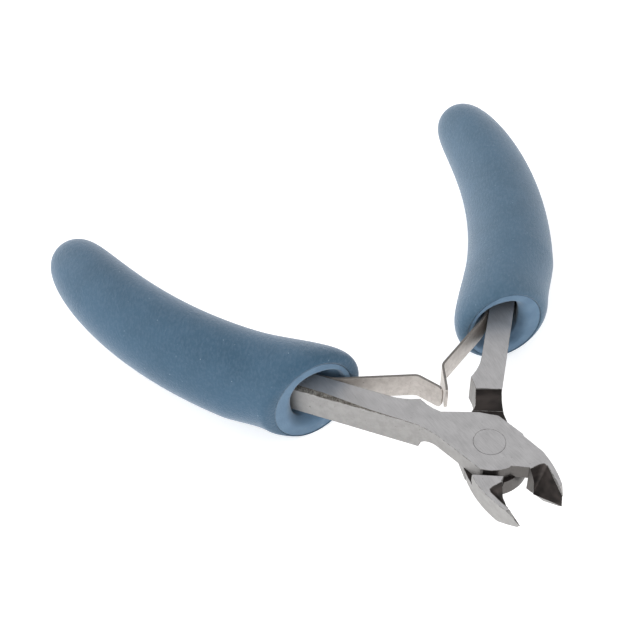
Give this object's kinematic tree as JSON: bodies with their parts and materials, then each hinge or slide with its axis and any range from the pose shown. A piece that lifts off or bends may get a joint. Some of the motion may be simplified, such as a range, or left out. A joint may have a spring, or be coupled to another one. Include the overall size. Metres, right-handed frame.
{
  "type": "diagonal cutting pliers",
  "caption": "Small diagonal cutting pliers with bevelled jaws, a flush lap joint, twin leaf springs and thick cushion grips that hold the jaws open for cutting fine wire.",
  "frame": {"origin": "on the pivot axis, in the plane of the lap joint's underside", "axes": "+Y from the pivot towards the handles along the centre line, jaws towards -Y; +Z along the pivot axis out of the joint's upper face; +X towards the lower half's handle"},
  "size_m": [0.111, 0.1079, 0.0203],
  "materials": {
    "forged_steel": "satin ground",
    "rivet_steel": "ground flush",
    "spring_steel": "satin",
    "grip_core": "matte foam",
    "grip_cover": "matte, fine leathery grain"
  },
  "bodies": {
    "lower_half": {"lower_half": "forged_steel", "pivot_rivet": "rivet_steel", "spring_clamp_right": "spring_steel", "spring_rivet_right": "rivet_steel", "grip_core_right": "grip_core", "grip_cover_right": "grip_cover"},
    "upper_half": {"upper_half": "forged_steel", "spring_clamp_left": "spring_steel", "spring_rivet_left": "rivet_steel", "grip_core_left": "grip_core", "grip_cover_left": "grip_cover"},
    "leaf_left": {"leaf_spring_left": "spring_steel"},
    "leaf_right": {"leaf_spring_right": "spring_steel"}
  },
  "joints": [
    {"name": "main_pivot", "type": "hinge", "parent": "lower_half", "child": "upper_half", "pos_m": [0, 0, 0.00317], "axis": [0, 0, 1], "range_deg": [-29.4, 0], "stiffness_Nm_per_rad": 0.8},
    {"name": "leaf_left_flex", "type": "hinge", "parent": "upper_half", "child": "leaf_left", "pos_m": [-0.01826, 0.02829, 0.00317], "axis": [0, 0, 1], "range_deg": [-13.5, 0]},
    {"name": "leaf_right_flex", "type": "hinge", "parent": "lower_half", "child": "leaf_right", "pos_m": [0.01826, 0.02829, 0.00317], "axis": [0, 0, 1], "range_deg": [0, 13.5]}
  ],
  "couplings": [
    {"joint": "leaf_left_flex", "follows": "main_pivot", "ratio": 0.456},
    {"joint": "leaf_right_flex", "follows": "main_pivot", "ratio": -0.456}
  ]
}
